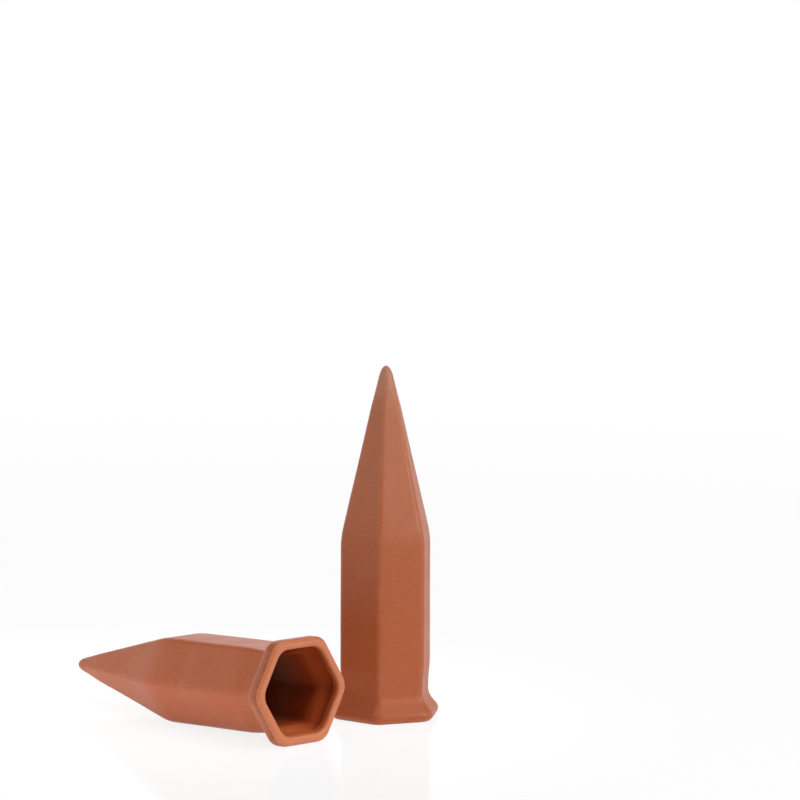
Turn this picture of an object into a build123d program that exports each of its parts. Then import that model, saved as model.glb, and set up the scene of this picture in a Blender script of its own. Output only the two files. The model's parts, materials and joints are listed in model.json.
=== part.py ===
from build123d import *
import math
import os

# A pair of hexagonal watering spikes in unglazed terracotta: one stands on its mouth, one lies on its side.
# Each spike is a single hollow slip casting with a flared collar, a rolled lip and a long point.
# Lengths are in millimetres and angles in degrees.
# In a spike's own frame the mouth is on Z = 0, the point is towards +Z and a flat of the hexagon faces +X.

# Body and point
spike_length = 180.0
body_across_flats = 43.2
body_corner_radius = 4.0
shoulder_height = 93.0
shoulder_radius = 50.0
point_edge_radius = 2.0
nose_fade = 13.0
nose_width = 10.0
nose_length = 16.8

# Mouth and rim
mouth_across_flats = 43.2
mouth_corner_radius = 8.0
lip_rounding = 1.4
lip_land = 3.2
rim_flat = 0.4
rim_rounding = 2.9

# Collar and the waist behind it
collar_height = 6.2
ridge_radius = 2.0
flare_run = 4.5
flare_radius = 9.5
waist_depth = 0.7
waist_straight = 1.5
swell_run = 7.5
swell_radius = 50.0

# Inside
wall_thickness = 4.2
undercut = 0.7
undercut_run = 1.5
undercut_fullness = 0.9
throat_run = 4.0
throat_radius = 8.0
cavity_edge_radius = 2.0
cavity_nose_fade = 10.0
cavity_nose_width = 6.0

# Places of the two spikes on the ground: the standing one is on the origin
standing_turn = -20.0
lying_mouth_x = 31.7
lying_mouth_y = -82.5

# Sizes across the hexagons, halved, and the hexagons on which the corners' rounding is centred
side_count = 6
sector = 360 / side_count
body_apothem = body_across_flats / 2
mouth_apothem = mouth_across_flats / 2
collar_apothem = mouth_apothem + lip_rounding + rim_flat + rim_rounding
waist_apothem = body_apothem - waist_depth
cavity_apothem = body_apothem - wall_thickness
outer_core = body_apothem - body_corner_radius
inner_core = mouth_apothem - mouth_corner_radius

# The nose is half an ellipse turned about the axis; each facet of the point touches it, which sets the slope
point_rise = spike_length - nose_length - shoulder_height
squared_rise = point_rise**2 - nose_length**2
squared_width = body_apothem**2 - (nose_width / 2) ** 2
product = body_apothem * point_rise
point_slope = math.atan((product - math.sqrt(product**2 - squared_rise * squared_width)) / squared_rise)
slope_cos = math.cos(point_slope)
slope_sin = math.sin(point_slope)
shoulder_start = shoulder_height - shoulder_radius * math.tan(point_slope / 2)
shoulder_centre = body_apothem - shoulder_radius

# Heights along the collar's back
flare_end = collar_height + flare_run
flare_turn = math.atan2(collar_apothem - waist_apothem, flare_run)
swell_turn = math.atan2(waist_depth, swell_run)
swell_start = (
    flare_end
    + flare_radius * math.tan(flare_turn / 2)
    + waist_straight
    + swell_radius * math.tan(swell_turn / 2)
)


def rounded_hexagon(apothem, corner_radius, height):
    """A level hexagon with rounded corners and one flat facing +X."""
    outline = RegularPolygon(apothem, side_count, major_radius=False, rotation=sector / 2)
    return Pos(0, 0, height) * fillet(outline.vertices(), corner_radius)


def divided_circle(radius, height):
    """A level circle with as many edges as a rounded hexagon: half for the flats, half for the corners."""
    share = sector / 2
    arcs = [CenterArc((0, 0), radius, (step - 0.5) * share, share) for step in range(2 * side_count)]
    return Pos(0, 0, height) * make_face(arcs)


def hexagonal_turning(outline, core_apothem, core_cover, height):
    """Carry an upright outline along the sides and round the corners of a hexagon, and fill the middle."""
    path = RegularPolygon(core_apothem, side_count, major_radius=False, rotation=sector / 2).wire()
    ring = sweep(Plane.XZ * make_face(outline), path=path, transition=Transition.ROUND)
    filling = RegularPolygon(core_apothem + core_cover, side_count, major_radius=False, rotation=sector / 2)
    return ring + extrude(filling, height)


def long_point(arc_radius, corner_radius, edge_radius, fade, half_width, half_length):
    """The form above the body: curved shoulder, flat facets that narrow, and an elliptical nose."""
    shoulder_steps = 4
    sections = []
    for step in range(shoulder_steps + 1):
        turn = point_slope * step / shoulder_steps
        apothem = shoulder_centre + arc_radius * math.cos(turn)
        sections.append(rounded_hexagon(apothem, corner_radius, shoulder_start + arc_radius * math.sin(turn)))
    facet_offset = shoulder_centre * slope_cos + shoulder_start * slope_sin + arc_radius
    reach = math.hypot(half_width * slope_cos, half_length * slope_sin)
    nose_centre = (facet_offset - reach) / slope_sin
    nose_apothem = half_width**2 * slope_cos / reach
    nose_height = nose_centre + half_length**2 * slope_sin / reach
    fade_height = nose_height - fade
    fade_apothem = (facet_offset - fade_height * slope_sin) / slope_cos
    fade_section = rounded_hexagon(fade_apothem, edge_radius, fade_height)
    nose_section = divided_circle(nose_apothem, nose_height)
    nose_start = math.degrees(math.acos(nose_apothem / half_width))
    dome_edge = EllipticalCenterArc(
        (0, nose_centre), half_width, half_length, nose_start, arc_size=90 - nose_start
    )
    dome_base = Polyline((0, nose_centre + half_length), (0, nose_height), (nose_apothem, nose_height))
    dome = revolve(Plane.XZ * make_face([dome_edge, dome_base]), Axis.Z)
    shoulder = loft(sections)
    facets = loft([sections[-1], fade_section], ruled=True)
    nose = loft([fade_section, nose_section], ruled=True)
    return shoulder + facets + nose + dome


def outer_form():
    """The outside of a spike, filled solid."""
    outline = FilletPolyline(
        (outer_core, 0),
        (collar_apothem, 0),
        (collar_apothem, collar_height),
        (waist_apothem, flare_end),
        (waist_apothem, swell_start),
        (body_apothem, swell_start + swell_run),
        (body_apothem, shoulder_start),
        (outer_core, shoulder_start),
        radius=[0, rim_rounding, ridge_radius, flare_radius, swell_radius, swell_radius, 0, 0],
        close=True,
    )
    body = hexagonal_turning(outline, outer_core, body_corner_radius / 2, shoulder_start)
    point = long_point(
        shoulder_radius,
        body_corner_radius,
        point_edge_radius,
        nose_fade,
        nose_width / 2,
        nose_length,
    )
    return body + point


def cavity_form():
    """The space inside a spike: rolled lip, undercut, throat, and a cavity that follows the outside."""
    lip_depth = lip_rounding + lip_land
    undercut_apothem = mouth_apothem + undercut
    undercut_rounding = undercut_fullness * min(undercut, undercut_run / 2)
    roll = JernArc((mouth_apothem + lip_rounding, 0), (-1, 0), lip_rounding, -90)
    inside = FilletPolyline(
        (mouth_apothem, lip_rounding),
        (mouth_apothem, lip_depth),
        (undercut_apothem, lip_depth),
        (undercut_apothem, lip_depth + undercut_run),
        (cavity_apothem, lip_depth + undercut_run + throat_run),
        (cavity_apothem, shoulder_start),
        (inner_core, shoulder_start),
        (inner_core, 0),
        (mouth_apothem + lip_rounding, 0),
        radius=[0, undercut_rounding, undercut_rounding, throat_radius, 0, 0, 0],
    )
    corner_radius = cavity_apothem - inner_core
    body = hexagonal_turning([roll, inside], inner_core, corner_radius / 2, shoulder_start)
    point = long_point(
        shoulder_radius - wall_thickness,
        corner_radius,
        cavity_edge_radius,
        cavity_nose_fade,
        cavity_nose_width / 2,
        cavity_nose_width / 2,
    )
    return body + point


def lying_place():
    """Where a spike comes to rest on its side, on the ridge of its collar and on its shoulder."""
    ridge_across = collar_apothem - ridge_radius
    ridge_along = collar_height - ridge_radius * math.tan(flare_turn / 2)
    across = ridge_across - shoulder_centre
    along = ridge_along - shoulder_start
    reach = math.hypot(across, along)
    droop = math.atan2(along, across) + math.acos((shoulder_radius - ridge_radius) / reach)
    axis_height = ridge_across * math.cos(droop) + ridge_along * math.sin(droop) + ridge_radius
    return Pos(lying_mouth_x, lying_mouth_y, axis_height) * Rot(0, -90 - math.degrees(droop), 0)


spike = outer_form() - cavity_form()

os.makedirs("parts", exist_ok=True)
export_step(Rot(0, 0, standing_turn) * spike, "parts/standing_spike.step")
export_step(lying_place() * spike, "parts/lying_spike.step")
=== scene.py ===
import json
import math
from typing import NamedTuple

import bmesh
import bpy
from mathutils import Matrix, Quaternion, Vector, noise


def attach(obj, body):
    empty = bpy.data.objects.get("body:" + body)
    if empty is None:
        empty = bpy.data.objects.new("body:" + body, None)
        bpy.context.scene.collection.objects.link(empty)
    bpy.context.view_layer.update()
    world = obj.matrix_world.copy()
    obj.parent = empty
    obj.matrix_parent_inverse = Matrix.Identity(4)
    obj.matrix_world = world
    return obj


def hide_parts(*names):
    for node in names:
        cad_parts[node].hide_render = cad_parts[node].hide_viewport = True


# Unglazed terracotta watering spikes: one stands on its mouth, the other lies on its side.
# Profile sizes are in millimetres in a spike's own frame: mouth on Z = 0, point towards +Z, a flat facing +X.
# Everything that is placed in the scene is in metres, in the row frame.

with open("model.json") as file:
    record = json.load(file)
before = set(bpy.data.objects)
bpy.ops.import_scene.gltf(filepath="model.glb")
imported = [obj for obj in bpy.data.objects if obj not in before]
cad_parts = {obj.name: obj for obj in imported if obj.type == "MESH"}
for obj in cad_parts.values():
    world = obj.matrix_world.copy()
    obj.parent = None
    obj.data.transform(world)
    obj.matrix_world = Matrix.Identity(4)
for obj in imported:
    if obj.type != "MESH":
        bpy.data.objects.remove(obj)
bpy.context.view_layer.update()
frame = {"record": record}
mounts = {mount["name"]: mount for mount in frame["record"]["mounts"]}
MM = 0.001

# Body and point
tip_build_up = 0.6
spike_length = mounts["standing_point"]["pos_m"][2] / MM + tip_build_up
body_apothem = 21.6
body_corner_radius = 4.0
shoulder_height = 93.0
shoulder_radius = 50.0
point_edge_radius = 2.0
nose_fade = 13.0
nose_half_width = 5.0
nose_length = 16.8

# Mouth, rim and collar
mouth_apothem = 21.6
mouth_corner_radius = 8.0
lip_rounding = 1.4
lip_land = 3.2
lip_edge_radius = 0.2
rim_flat = 0.4
rim_rounding = 2.9
bevel_rounding = 1.9
collar_height = 6.2
flare_end = 10.7
flare_radius = 9.5
waist_depth = 0.7
waist_straight = 1.5
swell_run = 7.5
swell_radius = 50.0

# Inside
wall_thickness = 4.2
undercut = 0.7
undercut_run = 1.5
undercut_rounding = 0.6
throat_run = 4.0
throat_radius = 8.0
cavity_edge_radius = 2.0
cavity_nose_fade = 10.0
cavity_nose_radius = 3.0

# Slip ran out over this angle to each side, in full over half of it
drained_spread = 80.0

# Mesh fineness
SIDES = 6
SECTOR = math.tau / SIDES
flat_points = 16
corner_points = 8
outer_step = 1.3
inner_step = 2.2
arc_step = 0.45
dome_steps = 14

# Waves of a hand-finished wall
wave_length = 34.0
wave_height = 0.14
ripple_length = 11.0
ripple_height = 0.04

# How far the wear on a corner reaches
edge_width = 2.6

# Sizes that follow from these
collar_apothem = mouth_apothem + lip_rounding + rim_flat + rim_rounding
waist_apothem = body_apothem - waist_depth
cavity_apothem = body_apothem - wall_thickness
outer_core = body_apothem - body_corner_radius
inner_core = mouth_apothem - mouth_corner_radius
collar_reach = outer_core / math.cos(SECTOR / 2) + collar_apothem - outer_core
lip_depth = lip_rounding + lip_land
throat_end = lip_depth + undercut_run + throat_run
point_rise = spike_length - nose_length - shoulder_height
squared_rise = point_rise**2 - nose_length**2
squared_width = body_apothem**2 - nose_half_width**2
product = body_apothem * point_rise
point_slope = math.atan((product - math.sqrt(product**2 - squared_rise * squared_width)) / squared_rise)
shoulder_start = shoulder_height - shoulder_radius * math.tan(point_slope / 2)
shoulder_centre = body_apothem - shoulder_radius
flare_turn = math.atan2(collar_apothem - waist_apothem, flare_end - collar_height)
swell_turn = math.atan2(waist_depth, swell_run)
swell_start = (
    flare_end
    + flare_radius * math.tan(flare_turn / 2)
    + waist_straight
    + swell_radius * math.tan(swell_turn / 2)
)


class Casting(NamedTuple):
    """What sets one spike apart from the other."""

    seed: Vector  # start of the waves in its wall
    bevel: tuple  # run and rise of the rim's outer bevel
    crease_radius: float  # rounding where the bevel meets the side of the collar
    ridge_height: float  # how far the ridge at the back of the collar is from the mouth
    ridge_radius: float  # rounding of that ridge
    cove_radius: float  # rounding of the hollow between the ridge and the waist
    drained_and_lit_side: float  # angle of the side down which slip ran out of the mouth, where the throat's floor also takes a painted light
    painted_shade_side: float  # angle of the side of the throat that is given a painted shade
    dents: tuple  # worn spots on the collar: angle, height, depth and width of each
    pattern_shift: tuple  # moves the pattern of the clay
    tone: tuple  # raises or lowers the clay's red, green and blue, and paints how much more light one spike gets than the other
    point_sheen: float  # how pale the clay gets towards the point: a painted sheen
    tip_sheen: float  # how pale the tip itself is painted: a painted sheen
    rim_light_share: float  # how much painted light on the rim's face shows
    crease_wear: float  # how dark the crease of the rim is scraped
    ridge_highlight: float  # how strong the painted highlight along the ridge of the collar is
    marks: tuple  # rings wiped round the body: height, half width and strength of each


def rounded_path(corners):
    """Points along straight runs with rounded corners; a corner is (across, along, radius)."""
    path = []
    for index, (across, along, radius) in enumerate(corners):
        corner = Vector((across, along))
        if radius == 0:
            path.append(corner)
            continue
        before = (Vector(corners[index - 1][:2]) - corner).normalized()
        after = (Vector(corners[index + 1][:2]) - corner).normalized()
        half = before.angle(after) / 2
        centre = corner + (before + after).normalized() * radius / math.sin(half)
        start = corner + before * radius / math.tan(half) - centre
        end = corner + after * radius / math.tan(half) - centre
        turn = math.pi - 2 * half
        if start.x * end.y - start.y * end.x < 0:
            turn = -turn
        count = max(3, math.ceil(abs(turn) * radius / arc_step))
        path += [centre + Matrix.Rotation(turn * k / count, 2) @ start for k in range(count + 1)]
    return path


def spaced(path, step):
    """The same path with points added on runs that are longer than the step."""
    filled = [path[0]]
    for start, end in zip(path, path[1:]):
        count = max(1, math.ceil((end - start).length / step))
        filled += [start.lerp(end, k / count) for k in range(1, count + 1)]
    return filled


def body_stations(corners, core, step):
    """Cross-sections of a stretch whose corners are rounded about one hexagon.

    A cross-section is (apothem, height, corner radius, evenness).
    """
    return [(point.x, point.y, point.x - core, 0.0) for point in spaced(rounded_path(corners), step)]


def point_stations(arc_radius, corner_radius, edge_radius, fade, half_width, half_length, step):
    """Cross-sections from the shoulder to the nose, and the height of the tip.

    The shoulder is curved, the facets are flat, and the nose turns round.
    """
    stations = []
    slope_sin = math.sin(point_slope)
    slope_cos = math.cos(point_slope)
    arc_count = math.ceil(arc_radius * point_slope / step)
    for k in range(1, arc_count + 1):
        turn = point_slope * k / arc_count
        apothem = shoulder_centre + arc_radius * math.cos(turn)
        stations.append((apothem, shoulder_start + arc_radius * math.sin(turn), corner_radius, 0.0))
    facet_offset = shoulder_centre * slope_cos + shoulder_start * slope_sin + arc_radius
    reach = math.hypot(half_width * slope_cos, half_length * slope_sin)
    nose_centre = (facet_offset - reach) / slope_sin
    nose_start = math.acos(half_width * slope_cos / reach)
    nose_height = nose_centre + half_length * math.sin(nose_start)
    fade_height = nose_height - fade
    low = stations[-1][1]
    facet_count = math.ceil((fade_height - low) / step)
    for k in range(1, facet_count + 1):
        share = k / facet_count
        height = low + (fade_height - low) * share
        apothem = (facet_offset - height * slope_sin) / slope_cos
        stations.append((apothem, height, corner_radius + (edge_radius - corner_radius) * share, 0.0))
    fade_count = math.ceil(fade / step)
    for k in range(1, fade_count + 1):
        share = k / fade_count
        height = fade_height + fade * share
        apothem = (facet_offset - height * slope_sin) / slope_cos
        stations.append((apothem, height, edge_radius + (apothem - edge_radius) * share, share))
    for k in range(1, dome_steps):
        turn = nose_start + (math.pi / 2 - nose_start) * k / dome_steps
        apothem = half_width * math.cos(turn)
        stations.append((apothem, nose_centre + half_length * math.sin(turn), apothem, 1.0))
    return stations, nose_centre + half_length


def outer_stations(casting):
    """Cross-sections of the outside, from the rim's flat to the nose."""
    bevel_run, bevel_rise = casting.bevel
    corners = [
        (collar_apothem - rim_rounding, 0, 0),
        (collar_apothem - bevel_run, 0, bevel_rounding),
        (collar_apothem, bevel_rise, casting.crease_radius),
        (collar_apothem, casting.ridge_height, casting.ridge_radius),
        (waist_apothem, flare_end, casting.cove_radius),
        (waist_apothem, swell_start, swell_radius),
        (body_apothem, swell_start + swell_run, swell_radius),
        (body_apothem, shoulder_start, 0),
    ]
    body = body_stations(corners, outer_core, outer_step)
    point, tip = point_stations(
        shoulder_radius,
        body_corner_radius,
        point_edge_radius,
        nose_fade,
        nose_half_width,
        nose_length,
        outer_step,
    )
    return body[1:] + point, tip


def inner_stations():
    """Cross-sections of the inside, from the rim's flat over the lip to the end of the cavity."""
    undercut_apothem = mouth_apothem + undercut
    corners = [
        (mouth_apothem + lip_rounding, 0, 0),
        (mouth_apothem, 0, lip_rounding),
        (mouth_apothem, lip_depth, lip_edge_radius),
        (undercut_apothem, lip_depth, undercut_rounding),
        (undercut_apothem, lip_depth + undercut_run, undercut_rounding),
        (cavity_apothem, throat_end, throat_radius),
        (cavity_apothem, shoulder_start, 0),
    ]
    body = body_stations(corners, inner_core, inner_step)
    point, tip = point_stations(
        shoulder_radius - wall_thickness,
        cavity_apothem - inner_core,
        cavity_edge_radius,
        cavity_nose_fade,
        cavity_nose_radius,
        cavity_nose_radius,
        inner_step,
    )
    return body[1:] + point, tip


def hexagon_ring(apothem, corner_radius, height, evenness):
    """Points round a hexagon with rounded corners; evenness spreads them alike over flats and corners."""
    core = apothem - corner_radius
    half_flat = core * math.tan(SECTOR / 2)
    arc = corner_radius * SECTOR
    total = 2 * half_flat + arc
    count = flat_points + corner_points
    ring = []
    for side in range(SIDES):
        for index in range(count):
            if index <= flat_points / 2:
                aligned = half_flat * index / (flat_points / 2)
            elif index <= flat_points / 2 + corner_points:
                aligned = half_flat + arc * (index - flat_points / 2) / corner_points
            else:
                aligned = total - half_flat * (count - index) / (flat_points / 2)
            along = aligned + (total * index / count - aligned) * evenness
            if along <= half_flat:
                point = Vector((apothem, along))
            elif along <= half_flat + arc:
                turn = (along - half_flat) / corner_radius
                centre = Vector((core, half_flat))
                point = centre + corner_radius * Vector((math.cos(turn), math.sin(turn)))
            else:
                point = Matrix.Rotation(SECTOR, 2) @ Vector((apothem, along - total))
            point = Matrix.Rotation(SECTOR * side, 2) @ point
            ring.append(Vector((point.x, point.y, height)))
    return ring


def inner_ring(station, drained_and_lit_side):
    """Points round a cross-section of the inside.

    On the side where slip ran out, a plain slope hides the land and the undercut.
    """
    apothem, height, corner_radius, evenness = station
    ring = hexagon_ring(apothem, corner_radius, height, evenness)
    depth = (height - lip_rounding) / (throat_end - lip_rounding)
    if not 0 < depth < 1:
        return ring
    slope_apothem = mouth_apothem + (cavity_apothem - mouth_apothem) * depth
    slope = hexagon_ring(slope_apothem, slope_apothem - inner_core, height, evenness)
    mixed = []
    for point, slope_point in zip(ring, slope):
        turn = math.degrees(math.atan2(point.y, point.x)) - drained_and_lit_side
        off_side = abs((turn + 180) % 360 - 180)
        share = min(1.0, max(0.0, 2 - 2 * off_side / drained_spread))
        mixed.append(point.lerp(slope_point, share))
    return mixed


def handmade(point, seed):
    """How far a point of the casting lies off the drawn form: slow waves in the wall, in millimetres."""
    wave = noise.noise(point / wave_length + seed)
    ripple = noise.noise(point / ripple_length + seed)
    return wave_height * wave + ripple_height * ripple


def dented(point, dents):
    """How far a point is pushed in by the dents of the collar; a dent is (angle, height, depth, width)."""
    push = 0.0
    for angle, height, depth, width in dents:
        centre = Matrix.Rotation(math.radians(angle), 3, "Z") @ Vector((collar_reach, 0, height))
        push += depth * math.exp(-((point - centre).length / width) ** 2)
    return push


def edge_share(point):
    """1 on the hexagon's corners, falling to 0 on its flats."""
    turn = math.atan2(point.y, point.x) % SECTOR
    off_corner = math.hypot(point.x, point.y) * abs(turn - SECTOR / 2)
    return max(0.0, 1.0 - off_corner / edge_width)


def set_attribute(data, name, kind, field, values):
    """A value for each point of a mesh, which the material reads by name."""
    attribute = data.attributes.new(name, kind, "POINT")
    for item, value in zip(attribute.data, values):
        setattr(item, field, value)


def spike_mesh(name, casting):
    """A whole spike as one closed skin, in its own frame, in metres."""
    outer, outer_tip = outer_stations(casting)
    inner, inner_tip = inner_stations()
    rings = [inner_ring(station, casting.drained_and_lit_side) for station in inner[::-1]]
    for apothem, height, corner_radius, evenness in outer:
        rings.append(hexagon_ring(apothem, corner_radius, height, evenness))
    mesh = bmesh.new()
    rows = [[mesh.verts.new(point) for point in ring] for ring in rings]
    inside_rows = sum(height > lip_depth for _, height, _, _ in inner)
    for index, (low, high) in enumerate(zip(rows, rows[1:])):
        for k in range(len(low)):
            face = mesh.faces.new((low[k - 1], low[k], high[k], high[k - 1]))
            face.material_index = int(index < inside_rows)
    for row, height, slot in ((rows[0], inner_tip, 1), (rows[-1], outer_tip, 0)):
        pole = mesh.verts.new((0, 0, height))
        for k in range(len(row)):
            face = mesh.faces.new((row[k - 1], row[k], pole))
            face.material_index = slot
    bmesh.ops.recalc_face_normals(mesh, faces=mesh.faces)
    mesh.normal_update()
    edges = [edge_share(vert.co) for vert in mesh.verts]
    inner_count = len(inner) * len(rows[0])
    outside = [0.0] * inner_count + [1.0] * (len(edges) - inner_count)
    offsets = [handmade(vert.co, casting.seed) - dented(vert.co, casting.dents) for vert in mesh.verts]
    for vert, offset in zip(mesh.verts, offsets):
        vert.co += vert.normal * offset
        vert.co.z = max(0.0, vert.co.z)
    for face in mesh.faces:
        face.smooth = True
    bmesh.ops.scale(mesh, vec=(MM, MM, MM), verts=mesh.verts)
    data = bpy.data.meshes.new(name)
    mesh.to_mesh(data)
    mesh.free()
    set_attribute(data, "own_place", "FLOAT_VECTOR", "vector", [vert.co for vert in data.vertices])
    set_attribute(data, "edge", "FLOAT", "value", edges)
    set_attribute(data, "outside", "FLOAT", "value", outside)
    return data


def add_spike(name, body, node, place, casting):
    """A spike that stands for its CAD node and moves with its body."""
    spike = bpy.data.objects.new(name, spike_mesh(name, casting))
    bpy.context.scene.collection.objects.link(spike)
    spike.data.transform(place)
    for vert in spike.data.vertices:
        vert.co.z = max(0.0, vert.co.z)
    spike.data.materials.append(terracotta(body + "_terracotta", casting))
    spike.data.materials.append(inside_clay(body + "_terracotta_inside", casting))
    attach(spike, body)
    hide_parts(node)


def standing_place():
    """The standing spike's turn, from where the record puts a point of its rim."""
    across, along, _ = mounts["standing_rim"]["pos_m"]
    return Matrix.Rotation(math.atan2(along, across), 4, "Z")


def lying_place():
    """The lying spike's place: its mouth and axis are in the record, and one flat faces up."""
    mouth = Vector(mounts["lying_socket"]["pos_m"])
    towards_point = -Vector(mounts["lying_socket"]["axis"])
    side = Vector((0, 0, 1)).cross(towards_point).normalized()
    up = towards_point.cross(side)
    turn = Matrix((up, towards_point.cross(up), towards_point)).transposed()
    return Matrix.Translation(mouth) @ turn.to_4x4()


class Nodes:
    """Short ways to add and join shader nodes."""

    def __init__(self, tree):
        self.tree = tree

    def add(self, kind, **values):
        """A new node, with values for its sockets and settings."""
        node = self.tree.nodes.new(kind)
        for name, value in values.items():
            if name in node.inputs:
                node.inputs[name].default_value = value
            else:
                setattr(node, name, value)
        return node

    def join(self, source, target):
        self.tree.links.new(source, target)

    def math(self, operation, first, second):
        """What an operation makes of two numbers or sockets."""
        node = self.add("ShaderNodeMath", operation=operation)
        for socket, value in zip(node.inputs, (first, second)):
            if isinstance(value, (int, float)):
                socket.default_value = value
            else:
                self.join(value, socket)
        return node.outputs[0]

    def spread(self, source, low, high, to_low=0.0, to_high=1.0):
        """A value carried from one range to another, with soft ends."""
        node = self.add("ShaderNodeMapRange", interpolation_type="SMOOTHSTEP")
        for name, value in (("From Min", low), ("From Max", high), ("To Min", to_low), ("To Max", to_high)):
            node.inputs[name].default_value = value
        self.join(source, node.inputs["Value"])
        return node.outputs["Result"]

    def noise(self, place, scale, detail=3.0, roughness=0.6):
        """A cloudy pattern between 0 and 1."""
        node = self.add("ShaderNodeTexNoise", Scale=scale, Detail=detail, Roughness=roughness)
        self.join(place, node.inputs["Vector"])
        return node.outputs["Fac"]

    def attribute(self, name, output):
        """What the mesh holds under a name."""
        return self.add("ShaderNodeAttribute", attribute_name=name).outputs[output]

    def moved(self, place, offset=(0, 0, 0), stretch=(1, 1, 1)):
        """A place moved and scaled, so that a pattern on it shifts or stretches."""
        node = self.add("ShaderNodeMapping", Location=offset, Scale=stretch)
        self.join(place, node.inputs["Vector"])
        return node.outputs["Vector"]

    def along(self, place, towards):
        """How far a place lies in a direction."""
        node = self.add("ShaderNodeVectorMath", operation="DOT_PRODUCT")
        self.join(place, node.inputs[0])
        node.inputs[1].default_value = towards
        return node.outputs["Value"]

    def brighten(self, colour, factor):
        """A colour times a factor."""
        node = self.add("ShaderNodeVectorMath", operation="SCALE")
        self.join(colour, node.inputs[0])
        self.join(factor, node.inputs["Scale"])
        return node.outputs[0]

    def specks(self, place, scale, size, share):
        """1 on sparse dots: the size is a part of a cell, and the share says how many cells have a dot."""
        cells = self.add("ShaderNodeTexVoronoi", Scale=scale)
        self.join(place, cells.inputs["Vector"])
        lot = self.add("ShaderNodeSeparateColor")
        self.join(cells.outputs["Color"], lot.inputs[0])
        dot = self.spread(cells.outputs["Distance"], size / 2, size, 1.0, 0.0)
        return self.math("MULTIPLY", dot, self.math("LESS_THAN", lot.outputs[0], share))

    def mix(self, share, first, second):
        """Two colours mixed; the sockets for colours are among the node's enabled ones."""
        node = self.add("ShaderNodeMix", data_type="RGBA")
        factor, first_socket, second_socket = (socket for socket in node.inputs if socket.enabled)
        self.join(share, factor)
        for socket, value in ((first_socket, first), (second_socket, second)):
            if isinstance(value, tuple):
                socket.default_value = (*value, 1.0)
            else:
                self.join(value, socket)
        return next(socket for socket in node.outputs if socket.enabled)


# Clay: colours are linear, and scales are in cycles per metre
clay_deep = (0.394, 0.0845, 0.0135)
clay_light = (0.406, 0.0880, 0.0155)
# Paler clay for the painted light on the rim's face
clay_lit_rim = (0.520, 0.165, 0.078)
# Pale clay of the wiped marks, also the colour of the painted sheen towards the point
clay_smear_and_sheen = (0.420, 0.165, 0.080)
# Colour of the painted sheen on the tip and of the painted highlight along the collar's ridge
clay_painted_highlight = (0.440, 0.190, 0.110)
clay_dust = (0.420, 0.360, 0.400)
clay_worn = (0.430, 0.150, 0.080)
clay_scraped = (0.220, 0.045, 0.008)
clay_throat = (0.265, 0.040, 0.008)
# Paler clay for the painted light on the throat's floor
clay_lit_throat_floor = (0.470, 0.110, 0.030)
# Dark clay for the painted shade on one upper side of the throat
clay_painted_shade = (0.130, 0.016, 0.003)
clay_cavity = (0.345, 0.060, 0.014)
clay_depths = (0.370, 0.140, 0.075)
speck_dark = (0.200, 0.055, 0.020)
speck_pale = (0.480, 0.200, 0.120)
cloud_scale = 42
cloud_detail = 4.0
cloud_roughness = 0.55
mottle_scale = 190
mottle_contrast = 0.02
grain_scale = 1500
grain_contrast = 0.07
grain_dust = 0.04
bump_strength = 0.25
bump_distance = 0.0002
smear_scale = 110
smear_stretch = (1, 1, 0.25)
rub_scale = 160
rub_strength = 0.35
scrape_scale = 240
scrape_least = 0.4
dark_speck_scale = 210
dark_speck_size = 0.09
pale_speck_scale = 260
pale_speck_size = 0.1
pale_speck_shift = (0.4, 0.2, 0.6)
speck_share = 0.12

# Parts of a pattern's range over which it goes from one end to the other
noise_span = (0.3, 0.7)
smear_span = (0.45, 0.7)
rub_span = (0.45, 0.75)
scrape_span = (0.35, 0.65)

# Gloss: the outside is smoothed by hand and the inside is not
outside_gloss = 0.37
outside_roughness = (0.40, 0.48)
polish_scale = 60
polish_roughness = 0.5
inside_gloss = 0.1
inside_roughness = 0.9

# Where the colours change, in millimetres from the mouth
point_sheen_heights = (40, 165)
tip_sheen_heights = (155, 178)
lit_rim_heights = (1.5, 2.2)
crease_heights = (1.5, 2.1, 3.0, 4.6)
ridge_reach = (-1.6, -0.8, 0.9, 1.9)
cavity_heights = (6, 14)
depths_heights = (16, 38)
painted_shade_heights = (4, 5, 10, 13)

# How far out from the axis the two sides of the throat take their painted light and painted shade, in
# millimetres
lit_floor_reach = (8, 19)
painted_shade_reach = (13, 19)


def tinted(colour, tone):
    """A clay colour with its channels raised or lowered."""
    return tuple(channel * share for channel, share in zip(colour, tone))


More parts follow.
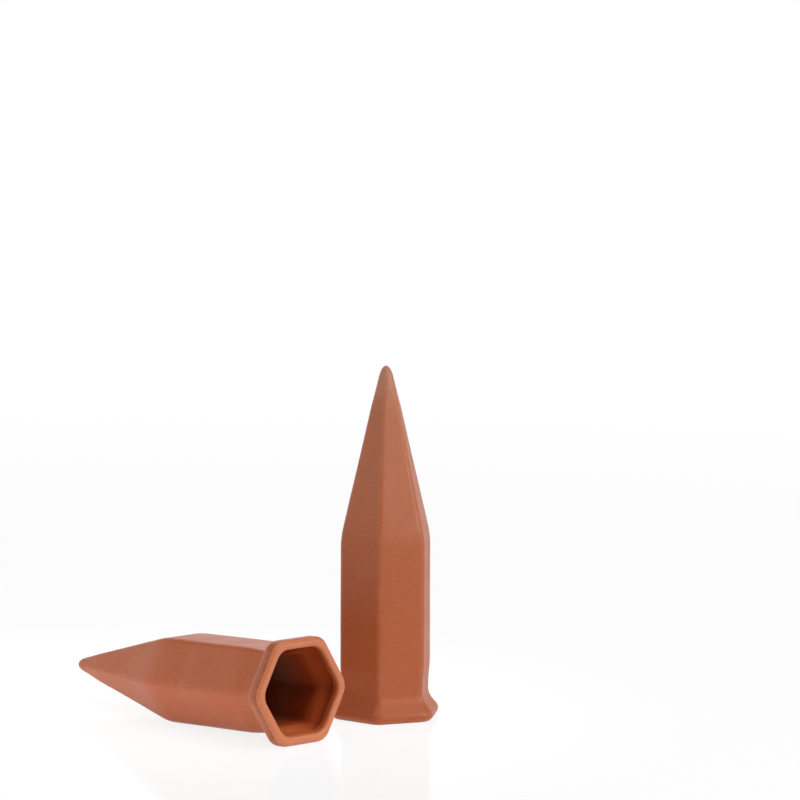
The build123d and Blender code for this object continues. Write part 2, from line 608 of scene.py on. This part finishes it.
class Clay:
    """A new clay material, with what the outside and the inside share."""

    def __init__(self, name, casting):
        self.material = bpy.data.materials.new(name)
        self.material.use_nodes = True
        self.material.node_tree.nodes.clear()
        self.n = Nodes(self.material.node_tree)
        self.own_place = self.n.attribute("own_place", "Vector")
        self.height = self.n.along(self.own_place, (0, 0, 1))
        self.place = self.n.moved(self.own_place, casting.pattern_shift)
        self.grain = self.n.noise(self.place, grain_scale)

    def upwards(self, heights, at_low=0.0, at_high=1.0):
        """A value that changes between two heights in millimetres."""
        low, high = heights
        return self.n.spread(self.height, low * MM, high * MM, at_low, at_high)

    def band(self, heights, strength):
        """A strength between two heights, fading out at both ends; the four heights are in millimetres."""
        low, full, full_end, high = heights
        rise = self.upwards((low, full), 0.0, strength)
        fall = self.upwards((full_end, high), 1.0, 0.0)
        return self.n.math("MULTIPLY", rise, fall)

    def towards(self, side, reach):
        """0 near the axis and 1 far out on a side, given as an angle; the reach is in millimetres."""
        angle = math.radians(side)
        outwards = self.n.along(self.own_place, (math.cos(angle), math.sin(angle), 0))
        near, far = reach
        return self.n.spread(outwards, near * MM, far * MM)

    def patches(self, scale, span, least=0.0, most=1.0):
        """Soft-edged patches over the clay."""
        return self.n.spread(self.n.noise(self.place, scale), *span, least, most)

    def finish(self, colour, gloss, roughness):
        """The surface itself, with its grain; the roughness is a number or a socket."""
        n = self.n
        colour = n.brighten(colour, n.spread(self.grain, *noise_span, 1 - grain_contrast, 1 + grain_contrast))
        shader = n.add("ShaderNodeBsdfPrincipled")
        shader.inputs["Specular IOR Level"].default_value = gloss
        n.join(colour, shader.inputs["Base Color"])
        if isinstance(roughness, float):
            shader.inputs["Roughness"].default_value = roughness
        else:
            n.join(roughness, shader.inputs["Roughness"])
        bump = n.add("ShaderNodeBump", Strength=bump_strength, Distance=bump_distance)
        n.join(self.grain, bump.inputs["Height"])
        n.join(bump.outputs["Normal"], shader.inputs["Normal"])
        output = n.add("ShaderNodeOutputMaterial")
        n.join(shader.outputs["BSDF"], output.inputs["Surface"])
        return self.material


def terracotta(name, casting):
    """Unglazed low-fired clay: mottled and grainy, pale where it is rubbed, with painted light on the rim's
    face, a painted sheen towards the point and on the tip, and a painted highlight along the collar's ridge.
    """
    clay = Clay(name, casting)
    n = clay.n
    place = clay.place
    clouds = n.spread(n.noise(place, cloud_scale, cloud_detail, cloud_roughness), *noise_span)
    # The clay's tone, which also paints the light each spike gets
    colour = n.mix(clouds, tinted(clay_deep, casting.tone), tinted(clay_light, casting.tone))
    # Painted sheen: the clay gets paler towards the point
    colour = n.mix(clay.upwards(point_sheen_heights, 0.0, casting.point_sheen), colour, clay_smear_and_sheen)
    # Painted sheen on the tip
    colour = n.mix(clay.upwards(tip_sheen_heights, 0.0, casting.tip_sheen), colour, clay_painted_highlight)
    # Painted light: the rim's face is paler, most on the lying spike
    colour = n.mix(clay.upwards(lit_rim_heights, casting.rim_light_share, 0.0), colour, tinted(clay_lit_rim, casting.tone))

    rubbed = clay.patches(rub_scale, rub_span, 0.0, rub_strength)
    colour = n.mix(n.math("MULTIPLY", n.attribute("edge", "Fac"), rubbed), colour, clay_worn)
    crease = n.math("MULTIPLY", clay.band(crease_heights, casting.crease_wear), n.attribute("outside", "Fac"))
    scraped = clay.patches(scrape_scale, scrape_span, scrape_least, 1.0)
    colour = n.mix(n.math("MULTIPLY", crease, scraped), colour, clay_scraped)
    # Painted highlight: a pale band along the ridge at the back of the collar
    ridge_heights = [casting.ridge_height + reach for reach in ridge_reach]
    colour = n.mix(clay.band(ridge_heights, casting.ridge_highlight), colour, clay_painted_highlight)
    smears = n.spread(n.noise(n.moved(place, stretch=smear_stretch), smear_scale), *smear_span)
    for height, half_width, strength in casting.marks:
        mark = clay.band((height - half_width, height, height, height + half_width), strength)
        colour = n.mix(n.math("MULTIPLY", mark, smears), colour, clay_smear_and_sheen)

    mottle = clay.patches(mottle_scale, noise_span, 1 - mottle_contrast, 1 + mottle_contrast)
    colour = n.brighten(colour, mottle)
    colour = n.mix(n.spread(clay.grain, *noise_span, 0.0, grain_dust), colour, clay_dust)
    dark_specks = n.specks(place, dark_speck_scale, dark_speck_size, speck_share)
    pale_specks = n.specks(n.moved(place, pale_speck_shift), pale_speck_scale, pale_speck_size, speck_share)
    colour = n.mix(dark_specks, colour, speck_dark)
    colour = n.mix(pale_specks, colour, speck_pale)
    polish = n.noise(place, polish_scale, roughness=polish_roughness)
    return clay.finish(colour, outside_gloss, n.spread(polish, *noise_span, *outside_roughness))


def inside_clay(name, casting):
    """The wall inside, never smoothed: paler by the mouth with painted light on the side where slip ran out,
    darker with painted shade on one upper side of the throat, and deeper elsewhere.
    """
    clay = Clay(name, casting)
    n = clay.n
    # Painted light: the throat's floor by the mouth is paler
    colour = n.mix(clay.towards(casting.drained_and_lit_side, lit_floor_reach), clay_throat, clay_lit_throat_floor)
    colour = n.mix(clay.upwards(cavity_heights), colour, clay_cavity)
    colour = n.mix(clay.upwards(depths_heights), colour, clay_depths)
    # Painted shade on one upper side of the throat
    throat_shade = n.math("MULTIPLY", clay.towards(casting.painted_shade_side, painted_shade_reach), clay.band(painted_shade_heights, 1.0))
    colour = n.mix(throat_shade, colour, clay_painted_shade)
    return clay.finish(colour, inside_gloss, inside_roughness)


# Studio: a pale floor, a white surround and soft lamps
camera_azimuth = 48.184
camera_elevation = 6.526
camera_roll = 0.207
camera_distance = 2.2434
camera_target = Vector((-0.00899, 0.01754, 0.16083))
camera_lens = 196.74
lamp_target = Vector((0.0, 0.0, 0.06))

# The floor is white where it is seen; what it glows on the clay fades with the distance from a centre
floor_size = 60.0
floor_grey = 0.84
floor_glow = 0.88
floor_glow_centre = (-0.10, -0.10, 0.0)
floor_glow_near = 0.05
floor_glow_far = 0.32
floor_contact = 0.03
floor_contact_samples = 4
floor_shadow_share = 0.1
floor_shadow_near = 0.5
floor_shadow_far = 1.5
floor_polish_share = 0.08
floor_polish_roughness = 0.08

# The surround is white as far up as the low height and darkens towards the ceiling
ambient = 0.02
ceiling = 0.05
ceiling_low = 0.25
ceiling_high = 0.7


def direction(azimuth, elevation):
    """Unit vector from the object; azimuth 0 is towards -Y and 90 towards +X."""
    turn = math.radians(azimuth)
    rise = math.radians(elevation)
    return Vector((math.sin(turn) * math.cos(rise), -math.cos(turn) * math.cos(rise), math.sin(rise)))


def add_camera():
    """The photograph's viewpoint."""
    data = bpy.data.cameras.new("camera")
    data.lens = camera_lens
    data.clip_end = 100
    camera = bpy.data.objects.new("camera", data)
    bpy.context.scene.collection.objects.link(camera)
    back = direction(camera_azimuth, camera_elevation)
    camera.location = camera_target + back * camera_distance
    camera.rotation_mode = "QUATERNION"
    roll = Quaternion((0, 0, 1), math.radians(camera_roll))
    camera.rotation_quaternion = (-back).to_track_quat("-Z", "Y") @ roll
    bpy.context.scene.camera = camera


class Softbox(NamedTuple):
    """A square soft lamp that faces the spikes."""

    name: str
    azimuth: float  # degrees from the camera's azimuth
    elevation: float
    distance: float  # metres from the point it faces
    size: float
    power: float


def add_softbox(softbox):
    """A lamp at its place, turned towards the spikes."""
    data = bpy.data.lights.new(softbox.name, "AREA")
    data.energy = softbox.power
    data.size = softbox.size
    lamp = bpy.data.objects.new(softbox.name, data)
    bpy.context.scene.collection.objects.link(lamp)
    towards = direction(camera_azimuth + softbox.azimuth, softbox.elevation)
    lamp.location = lamp_target + towards * softbox.distance
    lamp.rotation_mode = "QUATERNION"
    lamp.rotation_quaternion = (-towards).to_track_quat("-Z", "Y")


def seen_directly(n):
    """1 for rays that see the surround itself, 0 for rays that only gather light."""
    path = n.add("ShaderNodeLightPath")
    seen = n.math("MAXIMUM", path.outputs["Is Camera Ray"], path.outputs["Is Glossy Ray"])
    return n.math("MAXIMUM", seen, path.outputs["Is Transmission Ray"])


def add_world():
    """White where it is seen, and a plain ambient light elsewhere."""
    world = bpy.data.worlds.new("surround")
    world.use_nodes = True
    tree = world.node_tree
    n = Nodes(tree)
    background = tree.nodes["Background"]
    background.inputs["Color"].default_value = (1, 1, 1, 1)
    towards = n.add("ShaderNodeSeparateXYZ")
    n.join(n.add("ShaderNodeTexCoord").outputs["Generated"], towards.inputs[0])
    white = n.spread(towards.outputs["Z"], ceiling_low, ceiling_high, 1.0, ceiling)
    seen = n.math("MULTIPLY", seen_directly(n), white)
    n.join(n.math("MAXIMUM", seen, ambient), background.inputs["Strength"])
    bpy.context.scene.world = world


def add_floor():
    """A pale floor that looks nearly white and keeps a faint shadow."""
    data = bpy.data.meshes.new("floor")
    mesh = bmesh.new()
    bmesh.ops.create_grid(mesh, x_segments=1, y_segments=1, size=floor_size / 2)
    mesh.to_mesh(data)
    mesh.free()
    floor = bpy.data.objects.new("floor", data)
    bpy.context.scene.collection.objects.link(floor)
    material = bpy.data.materials.new("floor_white")
    material.use_nodes = True
    tree = material.node_tree
    tree.nodes.clear()
    n = Nodes(tree)
    white = (1, 1, 1, 1)
    matte = n.add("ShaderNodeBsdfDiffuse", Color=(floor_grey, floor_grey, floor_grey, 1))
    glow = n.add("ShaderNodeEmission", Color=white)
    off_centre = n.add("ShaderNodeVectorMath", operation="DISTANCE")
    off_centre.inputs[1].default_value = floor_glow_centre
    n.join(n.add("ShaderNodeTexCoord").outputs["Object"], off_centre.inputs[0])
    falloff = n.spread(off_centre.outputs["Value"], floor_glow_near, floor_glow_far, floor_glow, 0.0)
    nearby = n.add("ShaderNodeAmbientOcclusion", Distance=floor_contact, samples=floor_contact_samples)
    n.join(n.math("MULTIPLY", falloff, nearby.outputs["AO"]), glow.inputs["Strength"])
    lighting = n.add("ShaderNodeAddShader")
    n.join(matte.outputs[0], lighting.inputs[0])
    n.join(glow.outputs[0], lighting.inputs[1])
    plain = n.add("ShaderNodeEmission", Color=white, Strength=1.0)
    shaded = n.add("ShaderNodeMixShader")
    fade = n.spread(off_centre.outputs["Value"], floor_shadow_near, floor_shadow_far, floor_shadow_share, 0.0)
    n.join(fade, shaded.inputs[0])
    n.join(plain.outputs[0], shaded.inputs[1])
    n.join(lighting.outputs[0], shaded.inputs[2])
    polish = n.add("ShaderNodeBsdfGlossy", Color=white, Roughness=floor_polish_roughness)
    looks = n.add("ShaderNodeMixShader", Fac=floor_polish_share)
    n.join(shaded.outputs[0], looks.inputs[1])
    n.join(polish.outputs[0], looks.inputs[2])
    surface = n.add("ShaderNodeMixShader")
    n.join(seen_directly(n), surface.inputs[0])
    n.join(lighting.outputs[0], surface.inputs[1])
    n.join(looks.outputs[0], surface.inputs[2])
    output = n.add("ShaderNodeOutputMaterial")
    n.join(surface.outputs[0], output.inputs["Surface"])
    floor.data.materials.append(material)


add_camera()
add_world()
add_floor()
softboxes = (
    Softbox("right_softbox", azimuth=65, elevation=20, distance=1.6, size=0.8, power=12.0),
    Softbox("upper_right_softbox", azimuth=60, elevation=60, distance=2.4, size=2.0, power=21.8),
    Softbox("top_softbox", azimuth=0, elevation=85, distance=2.4, size=2.0, power=13.6),
    Softbox("left_softbox", azimuth=-50, elevation=30, distance=2.4, size=2.0, power=16.0),
    Softbox("side_left_softbox", azimuth=-105, elevation=20, distance=2.4, size=1.4, power=5.5),
    Softbox("back_softbox", azimuth=180, elevation=40, distance=2.4, size=2.0, power=16.8),
)
for softbox in softboxes:
    add_softbox(softbox)

standing_casting = Casting(
    seed=Vector((3.0, 1.0, 7.0)),
    bevel=(2.0, 1.7),
    crease_radius=2.5,
    ridge_height=4.6,
    ridge_radius=4.0,
    cove_radius=flare_radius,
    drained_and_lit_side=210,
    painted_shade_side=-20,
    dents=((90, 7.0, 0.35, 9.0),),
    pattern_shift=(0.0, 0.0, 0.0),
    tone=(0.97, 0.95, 1.0),
    point_sheen=0.36,
    tip_sheen=0.75,
    rim_light_share=0.15,
    crease_wear=0.2,
    ridge_highlight=0.0,
    marks=((11.5, 1.2, 0.25), (39, 5.0, 0.12)),
)
lying_casting = Casting(
    seed=Vector((11.0, 5.0, 2.0)),
    bevel=(1.6, 2.0),
    crease_radius=0.45,
    ridge_height=7.6,
    ridge_radius=2.4,
    cove_radius=7.0,
    drained_and_lit_side=210,
    painted_shade_side=-20,
    dents=(),
    pattern_shift=(0.7, 0.3, 0.5),
    tone=(1.06, 0.99, 0.8),
    point_sheen=0.0,
    tip_sheen=0.0,
    rim_light_share=0.95,
    crease_wear=0.7,
    ridge_highlight=0.65,
    marks=((149, 2.5, 0.30), (120, 4.0, 0.20), (66, 5.0, 0.20)),
)
add_spike("standing_terracotta_spike", "standing", "standing_spike", standing_place(), standing_casting)
add_spike("lying_terracotta_spike", "lying", "lying_spike", lying_place(), lying_casting)

scene = bpy.context.scene
scene.view_settings.view_transform = "Standard"
